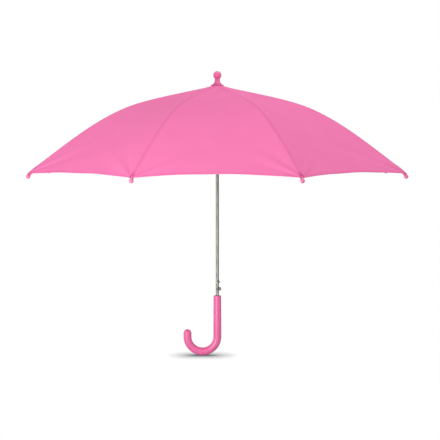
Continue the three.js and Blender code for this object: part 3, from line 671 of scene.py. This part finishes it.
# %% [markdown]
# ## Seam and hem stitches
#
# A lockstitch machine leaves a row of short threads about 2.5 mm long on the outside. One row
# runs along each side of every rib seam and one along the hem. They are far too many to place by
# hand, so the stitch tree follows paths taken from the cloth's own surface.

# %% Stitch rows
STITCH_SPACING = 3.2
STITCH_LENGTH = 2.4
STITCH_THICKNESS = 0.34
STITCH_FACES = 20  # each stitch is a stretched ball of this many faces
ROW_FROM_SEAM = 2.4
ROW_FROM_HEM = 5.5
ROW_STARTS = 0.07  # shares of a panel's length and half width
ROW_ENDS = 0.985


def stitch_rows(panel, azimuth):
    hem_across = np.linspace(-ROW_ENDS, ROW_ENDS, 130)
    hem_along = np.full_like(hem_across, 1 - ROW_FROM_HEM / FABRIC_END)
    rows = [cloth_point(hem_along, hem_across, panel)[0]]
    along = np.linspace(ROW_STARTS, ROW_ENDS, 200)
    width = cloth_point(along, np.ones_like(along), panel)[0][:, 1]
    for side in (-1, 1):
        rows.append(cloth_point(along, side * (1 - ROW_FROM_SEAM / width), panel)[0])
    guide = path_object([spun(row, azimuth) for row in rows])
    return grown(
        f"canopy_stitches_{panel}", STITCH, guide, THREAD,
        Spacing=STITCH_SPACING * MM, Length=STITCH_LENGTH * MM, Thickness=STITCH_THICKNESS * MM,
    )


stitches = [stitch_rows(k + 1, panel_angles[k]) for k in range(RIBS)]
print("each panel has", len(stitches[0].data.polygons) // STITCH_FACES, "stitches")

# %% [markdown]
# ## The cloth turns with its panels
#
# When the runner comes down, the slack cloth hangs in pleats between the ribs. Each panel turns
# with its own CAD body, and its stitches go with it.


def fold_with_panel(piece, panel):
    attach(piece, f"panel_{panel}")
    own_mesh(piece)


for k in range(RIBS):
    number = k + 1
    fold_with_panel(panels[k], number)
    fold_with_panel(stitches[k], number)
    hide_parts(f"canopy_panel_{number}")

# %% [markdown]
# ## Closing strap
#
# A short strap is sewn to the outside of one panel. It is a band of doubled cloth with stitched
# edges and a rounded end, and a press stud sits near each end. It is there to wrap the closed
# umbrella, but here it lies on its panel in every pose.

# %% Strap and its stitches
STRAP_PANEL = 2
STRAP_HALF_WIDTH = 8
STRAP_FROM = 0.62
STRAP_TO = 0.95
STRAP_LENGTH = 156
STRAP_THICKNESS = 0.8
STRAP_LIFT = 0.6
STRAP_ROW = 0.76  # where its edge stitches run, as a share of the half width
STRAP_AZIMUTH = panel_angles[STRAP_PANEL - 1]


def strap_points(down, side, lift):
    """down runs from the sewn end (0) to the loose end (1), and side from -1 to 1."""
    share = STRAP_FROM + (STRAP_TO - STRAP_FROM) * down
    width = cloth_point(share, np.ones_like(share), STRAP_PANEL)[0][..., 1]
    return cloth_point(share, STRAP_HALF_WIDTH * side / width, STRAP_PANEL, -lift)[0]


def rounded(down):
    """The strap's half width as a share, narrowing to a round nose at the loose end."""
    run = (STRAP_TO - STRAP_FROM) * FABRIC_END
    from_nose = (1 - down) * run / STRAP_HALF_WIDTH
    return np.sqrt(np.clip(1 - np.clip(1 - from_nose, 0, 0.97) ** 2, 0, 1))


down_rows = np.concatenate([np.linspace(0, 0.94, 48)[:-1], np.linspace(0.94, 1, 14)])
down, side = np.meshgrid(down_rows, np.linspace(-1, 1, 11), indexing="ij")
rim = 1 - 0.35 * np.abs(side) ** 6
over = strap_points(down, side * rounded(down), STRAP_LIFT + STRAP_THICKNESS * rim)
under = strap_points(down, side * rounded(down), STRAP_LIFT)
points, faces = slab(spun(over, STRAP_AZIMUTH), spun(under, STRAP_AZIMUTH))
strap = new_object("strap_cloth", points, faces)
laid_flat = np.stack([side * STRAP_HALF_WIDTH, down * STRAP_LENGTH], -1)
flat_layout = np.tile(laid_flat.reshape(-1, 2), (2, 1))
corners = np.zeros(len(strap.data.loops), int)
strap.data.loops.foreach_get("vertex_index", corners)
strap.data.uv_layers.new(name="cloth").data.foreach_set("uv", (flat_layout[corners] * MM).ravel())
strap.data.materials.append(STRAP_CLOTH)

edge_down = np.linspace(0.02, 0.93, 120)
seam_lift = STRAP_LIFT + STRAP_THICKNESS
edges = [strap_points(edge_down, np.full_like(edge_down, s * STRAP_ROW), seam_lift) for s in (-1, 1)]
box_side = np.linspace(-0.72, 0.72, 20)
edges += [strap_points(np.full_like(box_side, d), box_side, seam_lift) for d in (0.02, 0.075)]
guide = path_object([spun(edge, STRAP_AZIMUTH) for edge in edges])
strap_stitches = grown(
    "strap_stitches", STITCH, guide, THREAD,
    Spacing=STITCH_SPACING * MM, Length=STITCH_LENGTH * MM, Thickness=STITCH_THICKNESS * MM,
)
print("the strap has", len(strap_stitches.data.polygons) // STITCH_FACES, "stitches")

# %% Press studs
SNAP_PROFILE = [(0, 0.0), (4.6, 0.0), (5.0, 0.35), (5.0, 0.8), (4.7, 1.1), (3.6, 1.2), (3.3, 1.0)]
SNAP_PROFILE += [(3.0, 1.05), (2.6, 1.75), (1.9, 2.1), (1.0, 2.2), (0, 2.2)]
SNAP_SINK = 0.15


def press_stud(node):
    low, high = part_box(node)
    centre = np.array((low + high) / 2) / MM
    stations = np.linspace(0, 1, 200)
    middle = spun(strap_points(stations, np.zeros_like(stations), seam_lift), STRAP_AZIMUTH)
    nearest = stations[np.argmin(np.linalg.norm(middle - centre, axis=1))]
    seat = seam_lift - SNAP_SINK
    place = strap_points(np.array(nearest), np.array(0.0), seat)
    ahead = strap_points(np.array(min(nearest + 0.01, 1)), np.array(0.0), seat)
    slope = math.atan2(place[2] - ahead[2], ahead[0] - place[0])
    points, faces = turned(SNAP_PROFILE, 32)
    tilt = np.array(Matrix.Rotation(slope, 3, "Y"))
    placed = spun(np.asarray(points) @ tilt.T + place, STRAP_AZIMUTH)
    made = new_object(node + "_head", placed, faces)
    made.data.materials.append(STUD_NICKEL)
    return made


studs = [press_stud("strap_snap_cap"), press_stud("strap_snap_stud")]
for piece, node in zip(studs, ("strap_snap_cap", "strap_snap_stud")):
    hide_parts(node)
for piece in (strap, strap_stitches, *studs):
    fold_with_panel(piece, STRAP_PANEL)
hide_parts("closing_strap")
print("strap and two studs ride on panel", STRAP_PANEL)

# %% [markdown]
# ## Handle
#
# The handle is one moulding: a straight grip and a half-circle hook with a round nose. It swells
# very slightly from the top of the grip towards the hook, which helps it out of the mould. A bar
# whose girth varies along a path says exactly that, so the bar tree makes it.

# %% Handle
GRIP_TOP_Z = 47.8
GRIP_TOP_RADIUS = 8.7
GRIP_RADIUS = 9.0
RIM_FILLET = 1.4
SWELL_FROM_Z = 46
SWELL_LENGTH = 70
HANDLE_SIDES = 48


def handle_path():
    fillet = np.linspace(0, math.pi / 2, 7)
    grip = [(0, 0, GRIP_TOP_Z - RIM_FILLET * (1 - math.sin(a))) for a in fillet[::-1]]
    girth = [GRIP_TOP_RADIUS - RIM_FILLET * (1 - math.cos(a)) for a in fillet[::-1]]
    for z in np.linspace(GRIP_TOP_Z - 2.4, HOOK_CENTRE_Z, 30):
        grip.append((0, 0, z))
        swell = min((SWELL_FROM_Z - z) / SWELL_LENGTH, 1)
        girth.append(GRIP_TOP_RADIUS + (GRIP_RADIUS - GRIP_TOP_RADIUS) * swell)
    for a in np.linspace(0, math.pi, 65)[1:]:
        x = HOOK_RADIUS * (math.cos(a) - 1)
        grip.append((x, 0, HOOK_CENTRE_Z - HOOK_RADIUS * math.sin(a)))
        girth.append(GRIP_RADIUS)
    nose = HOOK_END_Z - GRIP_RADIUS
    for a in np.linspace(0, math.pi / 2 - 0.03, 16):
        grip.append((-2 * HOOK_RADIUS, 0, nose + GRIP_RADIUS * math.sin(a)))
        girth.append(GRIP_RADIUS * math.cos(a))
    return grip, np.array(girth) / GRIP_RADIUS


path, girths = handle_path()
handle = grown(
    "handle_moulding", BAR, path_object([path], girths=girths), ABS_PINK,
    Radius=GRIP_RADIUS * MM, Sides=HANDLE_SIDES, Crease=0.6,
)
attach(handle, "shaft")
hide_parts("handle")
print("handle:", [round(d / MM, 1) for d in handle.dimensions], "mm")

# %% [markdown]
# ## Finial and washer
#
# The top of the shaft wears a turned shape: a flared foot, a short neck and a ball. Under it a
# dished washer presses the crown of the cloth on to the notch. Both are bodies of revolution, so
# each is a profile spun round the axis.

# %% Finial and washer
BALL_Z = 546.9
BALL_RADIUS = 9.3
NECK_Z = 537.8
NECK_RADIUS = 5.9
FOOT_Z = 526.8
FOOT_RADIUS = 9.8
WASHER_RADIUS = 14.3
WASHER_BORE = 3.8
WASHER_DEPTH = 4.4
WASHER_TOP_Z = 526.5

neck_angle = math.degrees(math.asin((NECK_Z + 1.6 - BALL_Z) / BALL_RADIUS))
finial_profile = [(0, FOOT_Z), (FOOT_RADIUS - 0.5, FOOT_Z), (FOOT_RADIUS - 0.1, FOOT_Z + 0.2)]
finial_profile += [(FOOT_RADIUS, FOOT_Z + 0.6), (FOOT_RADIUS, FOOT_Z + 1.4), (9.5, FOOT_Z + 1.9)]
foot_end, neck_end = (9.0, FOOT_Z + 2.1), (NECK_RADIUS, NECK_Z - 0.6)
finial_profile += bezier(foot_end, (7.0, FOOT_Z + 2.8), (6.0, FOOT_Z + 5.4), neck_end, 10)
finial_profile += arc(BALL_RADIUS, BALL_Z, neck_angle, 88, 26)
finial_profile += [(0, BALL_Z + BALL_RADIUS)]
finial = new_object("finial_moulding", *turned(finial_profile, 64))
finial.data.materials.append(ABS_PINK)

rim_z = WASHER_TOP_Z - WASHER_DEPTH
dish = (WASHER_RADIUS - WASHER_BORE) * math.tan(CROWN_SLOPE)
washer_profile = [(WASHER_BORE, rim_z + dish), (WASHER_RADIUS - 0.4, rim_z + 0.05)]
washer_profile += [(WASHER_RADIUS, rim_z + 0.4), (WASHER_RADIUS, rim_z + 2.3), (14.0, rim_z + 3.1)]
washer_profile += [(13.2, rim_z + 3.8), (11.6, rim_z + 4.25), (10.2, WASHER_TOP_Z)]
washer_profile += [(WASHER_BORE, WASHER_TOP_Z), (WASHER_BORE, rim_z + dish)]
points, faces = turned(washer_profile, 64)
washer = new_object("crown_washer", points, faces)
washer.data.materials.append(ABS_DEEP)
top_pieces = ((finial, "finial", "pink_plastic"), (washer, "top_washer", "deep_pink_plastic"))
for piece, node, slot in top_pieces:
    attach(piece, "shaft")
    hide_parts(node)
print("finial and washer are", len(finial.data.polygons) + len(washer.data.polygons), "faces")

# %% [markdown]
# ## Rib tips
#
# Each rib ends in a moulded tip with a ball, which keeps the wire away from eyes and holds the
# corner of the cloth. The tip slides on the straight end of the rib. One tip is spun round its own
# axis, laid along the rib's end and repeated on each rib's body.

# %% Rib tips
BEND_AT = 452
TIP_SLOPE = math.radians(45.4)
TIP_MOUTH_AT = 10
TIP_BALL_AT = 18
TIP_BALL_RADIUS = 4.7
SLEEVE_RADIUS = 2.4

tip_profile = [(0, 0.5), (1.5, 0.5), (2.1, 0.6), (SLEEVE_RADIUS, 1.0), (SLEEVE_RADIUS, 3.2)]
tip_profile += [(2.15, 3.6), (2.15, 4.6), (SLEEVE_RADIUS, 5.0), (SLEEVE_RADIUS, 11.5)]
tip_profile += [(2.3, 12.6), (2.5, 13.5)]
tip_profile += arc(TIP_BALL_RADIUS, TIP_BALL_AT, -55, 87, 18)
tip_profile += [(0, TIP_BALL_AT + TIP_BALL_RADIUS)]


def rib_tip(rib, azimuth):
    bend_reach, bend_height = rib_point(BEND_AT)
    mouth = np.array([
        bend_reach + TIP_MOUTH_AT * math.cos(TIP_SLOPE), 0,
        bend_height - TIP_MOUTH_AT * math.sin(TIP_SLOPE),
    ])
    points, faces = turned(tip_profile, 32)
    tilt = np.array(Matrix.Rotation(math.pi / 2 + TIP_SLOPE, 3, "Y"))
    placed = spun(np.asarray(points) @ tilt.T + mouth, azimuth)
    made = new_object(f"rib_tip_moulding_{rib}", placed, faces)
    made.data.materials.append(ABS_PINK)
    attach(made, f"rib_{rib}")
    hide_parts(f"rib_tip_{rib}")
    return made


tips = [rib_tip(k + 1, rib_angles[k]) for k in range(RIBS)]
print(len(tips), "tips of", len(tips[0].data.polygons), "faces")

# %% [markdown]
# ## Rivets and rib ties
#
# Every stretcher turns on two rivets: one through the rib's lug and one through the push strut.
# Their peened heads stand proud of the channel. The cloth is tied to each rib in three places by
# a few turns of thread, so that the wind can't lift it off.

# %% Rivet heads
RIVET_SIDE = 1.95
RIVET_RADIUS = 1.5
RIVET_HEIGHT = 0.8
PIVOT_RADIUS = 8.0
NOTCH_PIVOT_Z = 517.6
JOINT_DROP = 3.6
STRUT_JOINT_AT = 70

# A stretcher starts as far below its rib's joint as the notch's pivot is above it.
joint_reach, joint_height = rib_point(JOINT_AT, -JOINT_DROP)
LINK_TO = np.array([joint_reach, 0, joint_height])
LINK_FROM = np.array([PIVOT_RADIUS, 0, 2 * joint_height - NOTCH_PIVOT_Z])


def rivet_heads(rib, azimuth):
    way = (LINK_TO - LINK_FROM) / np.linalg.norm(LINK_TO - LINK_FROM)
    places = []
    looks = []
    for centre in (LINK_TO, LINK_FROM + way * STRUT_JOINT_AT):
        for side in (-1, 1):
            places.append(centre + (0, side * RIVET_SIDE, 0))
            looks.append((0, side, 0))
    guide = new_object("guide", spun(places, azimuth), [])
    layer = guide.data.attributes.new("looks", "FLOAT_VECTOR", "POINT")
    layer.data.foreach_set("vector", spun(looks, azimuth).ravel())
    made = grown(
        f"rivet_heads_{rib}", RIVET, guide, STRIP_STEEL,
        Radius=RIVET_RADIUS * MM, Height=RIVET_HEIGHT * MM,
    )
    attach(made, f"stretcher_{rib}")
    return made


rivets = [rivet_heads(k + 1, rib_angles[k]) for k in range(RIBS)]
print(len(rivets) * 4, "rivet heads")

# %% Rib ties
TIE_STATIONS = (118, 268, 372)
TIE_TURNS = 4
TIE_LENGTH = 2.2
TIE_RADIUS = 1.4
TIE_THREAD_RADIUS = 0.28


def rib_ties(rib, azimuth):
    paths = []
    for station in TIE_STATIONS:
        turns = np.linspace(0, 1, TIE_TURNS * 14 + 1)
        s = station + TIE_LENGTH * turns
        reach, height = rib_point(s)
        angle = 2 * math.pi * TIE_TURNS * turns
        slope = rib_slope(s)
        out = TIE_RADIUS * np.cos(angle)
        x = reach + out * np.sin(slope)
        z = height + out * np.cos(slope)
        paths.append(spun(np.stack([x, TIE_RADIUS * np.sin(angle), z], -1), azimuth))
    made = grown(
        f"rib_ties_{rib}", BAR, path_object(paths), THREAD,
        Radius=TIE_THREAD_RADIUS * MM, Sides=6, Crease=3.0,
    )
    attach(made, f"rib_{rib}")
    return made


ties = [rib_ties(k + 1, rib_angles[k]) for k in range(RIBS)]
print(len(ties) * len(TIE_STATIONS), "ties")

# %% [markdown]
# ## Opening spring
#
# A long coil of thin wire sits round the shaft between the two runners and pushes them apart.
# It is a helix with a few closed turns at each end, and the bar tree gives it its wire. It moves
# with the upper runner.

# %% Spring
SPRING_RADIUS = 4.7
SPRING_WIRE_RADIUS = 0.5
SPRING_TURNS = 15
END_TURNS = 2.0

low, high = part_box("opening_spring")
spring_low, spring_high = low.z / MM + SPRING_WIRE_RADIUS, high.z / MM - SPRING_WIRE_RADIUS
all_turns = SPRING_TURNS + 2 * END_TURNS
turns = np.linspace(0, all_turns, 24 * int(all_turns) + 1)
closed_rise = 2 * SPRING_WIRE_RADIUS * 1.05 * END_TURNS
open_rise = spring_high - spring_low - 2 * closed_rise
rise = np.interp(
    turns, [0, END_TURNS, END_TURNS + SPRING_TURNS, turns[-1]],
    [0, closed_rise, closed_rise + open_rise, spring_high - spring_low],
)
angle = 2 * math.pi * turns
x, y = SPRING_RADIUS * np.cos(angle), SPRING_RADIUS * np.sin(angle)
helix = np.stack([x, y, spring_low + rise], -1)
spring = grown(
    "spring_coil", BAR, path_object([helix]), WIRE_STEEL,
    Radius=SPRING_WIRE_RADIUS * MM, Sides=10, Crease=3.0,
)
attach(spring, "upper_runner")
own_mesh(spring)
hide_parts("opening_spring")
print("the spring is", round(high.z / MM - low.z / MM, 1), "mm long")

# %% [markdown]
# ## Finishes on the mechanism
#
# The tube, ribs, stretchers, struts, runners and catch keep their CAD shapes. Their triangles are
# loose, so each one is welded and its sharp edges split before its smooth sides can shade.

# %% CAD nodes and their finishes
finishes = {
    "shaft_tube": TUBE_STEEL, "release_button": TUBE_STEEL, "catch_leaf": WIRE_STEEL,
    "catch_pin": WIRE_STEEL, "notch_wire": WIRE_STEEL, "notch_pin": STRIP_STEEL,
    "runner_stop_pin": STRIP_STEEL, "upper_runner_wire": WIRE_STEEL, "lower_runner_wire": WIRE_STEEL,
    "top_notch": NYLON, "upper_runner": NYLON, "lower_runner": NYLON,
}
for k in range(1, RIBS + 1):
    for strip in ("rib", "stretcher", "push_strut"):
        finishes[f"{strip}_{k}"] = STRIP_STEEL

for node, finish in finishes.items():
    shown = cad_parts[node]
    shown.data.materials.clear()
    shown.data.materials.append(finish)
    shown.data.polygons.foreach_set("use_smooth", [True] * len(shown.data.polygons))
    weld = shown.modifiers.new("weld", "WELD")
    weld.merge_threshold = 0.01 * MM
    split = shown.modifiers.new("split", "EDGE_SPLIT")
    split.split_angle = math.radians(32)
print(len(finishes), "CAD nodes have a finish")

# %% [markdown]
# ## Floor, light and camera
#
# The umbrella stands on the bottom of its hook in a white studio. The floor is white and only
# darkens in a small contact shadow. The light is a large soft box overhead, weak ones in front and
# on each side, a small one low in front for the handle, and an even pale surround.

# %% Floor and surround
CONTACT_REACH = 0.05
CONTACT_POWER = 3.5
SURROUND_STRENGTH = 0.62


def floor_material():
    made = bpy.data.materials.new("white sweep")
    made.use_nodes = True
    tree = made.node_tree
    tree.nodes.clear()
    # Painted shadow: the white glow that the camera sees darkens by ambient occlusion near the hook.
    contact = add(tree, "ShaderNodeAmbientOcclusion", {"Distance": CONTACT_REACH}, samples=16)
    inputs = {0: contact.outputs["AO"], 1: CONTACT_POWER}
    open_share = add(tree, "ShaderNodeMath", inputs, operation="POWER")
    shade = mixed(tree, open_share.outputs[0], "6c6e72", "ffffff")
    light = add(tree, "ShaderNodeEmission", {"Color": shade, "Strength": 1.0})
    lit = add(tree, "ShaderNodeBsdfDiffuse", {"Color": (0.6, 0.6, 0.6, 1)})
    seen = add(tree, "ShaderNodeLightPath").outputs["Is Camera Ray"]
    both = add(tree, "ShaderNodeMixShader", {0: seen, 1: lit.outputs[0], 2: light.outputs[0]})
    add(tree, "ShaderNodeOutputMaterial", {0: both.outputs[0]})
    return made


FLOOR_HALF = 6000
floor_z = HANDLE_BOTTOM_Z - 0.4
signs = ((-1, -1), (1, -1), (1, 1), (-1, 1))
floor_corners = [(FLOOR_HALF * x, FLOOR_HALF * y, floor_z) for x, y in signs]
floor = new_object("floor", floor_corners, [[0, 1, 2, 3]])
floor.data.materials.append(floor_material())

world = bpy.data.worlds.new("white studio")
bpy.context.scene.world = world
world.use_nodes = True
tree = world.node_tree
tree.nodes.clear()
inputs = {"Color": (1, 1, 1, 1), "Strength": SURROUND_STRENGTH}
surround = add(tree, "ShaderNodeBackground", inputs)
backdrop = add(tree, "ShaderNodeBackground", {"Color": (1, 1, 1, 1), "Strength": 1.0})
seen = add(tree, "ShaderNodeLightPath").outputs["Is Camera Ray"]
both = add(tree, "ShaderNodeMixShader", {0: seen, 1: surround.outputs[0], 2: backdrop.outputs[0]})
add(tree, "ShaderNodeOutputWorld", {0: both.outputs[0]})
bpy.context.scene.view_settings.view_transform = "Standard"
print("floor at", round(floor_z, 1), "mm")

# %% Lights
def soft_box(name, place, target, size, power):
    light = bpy.data.lights.new(name, "AREA")
    light.shape = "SQUARE"
    light.size = size
    light.energy = power
    made = bpy.data.objects.new(name, light)
    made.location = place
    made.rotation_euler = (Vector(target) - Vector(place)).to_track_quat("-Z", "Y").to_euler()
    bpy.context.scene.collection.objects.link(made)
    return made


CANOPY_CENTRE = (0, 0, 0.4)
HANDLE_CENTRE = (0, 0, 0)
soft_box("top soft box", (0.6, -0.5, 2.5), CANOPY_CENTRE, 1.8, 19.5)
soft_box("high soft box", (-0.3, -2.2, 1.9), CANOPY_CENTRE, 1.6, 0.5)
soft_box("left soft box", (-2.2, -0.8, 1.0), CANOPY_CENTRE, 1.2, 1.5)
soft_box("right soft box", (2.2, -0.4, 1.6), CANOPY_CENTRE, 1.2, 3)
soft_box("low soft box", (-0.6, -1.15, 0.07), HANDLE_CENTRE, 0.3, 8.5)
print("five soft boxes")

# %% Camera
CAMERA_DISTANCE = 2.91
CAMERA_HEIGHT = 0.4252
AIM = (0.006, 0, 0.2202)
camera_data = bpy.data.cameras.new("camera")
camera_data.sensor_width = 36
camera_data.lens = 105.2
camera = bpy.data.objects.new("camera", camera_data)
camera.location = (AIM[0], -CAMERA_DISTANCE, CAMERA_HEIGHT)
camera.rotation_euler = (Vector(AIM) - camera.location).to_track_quat("-Z", "Y").to_euler()
bpy.context.scene.collection.objects.link(camera)
bpy.context.scene.camera = camera
print("the camera looks from", [round(c, 3) for c in camera.location])
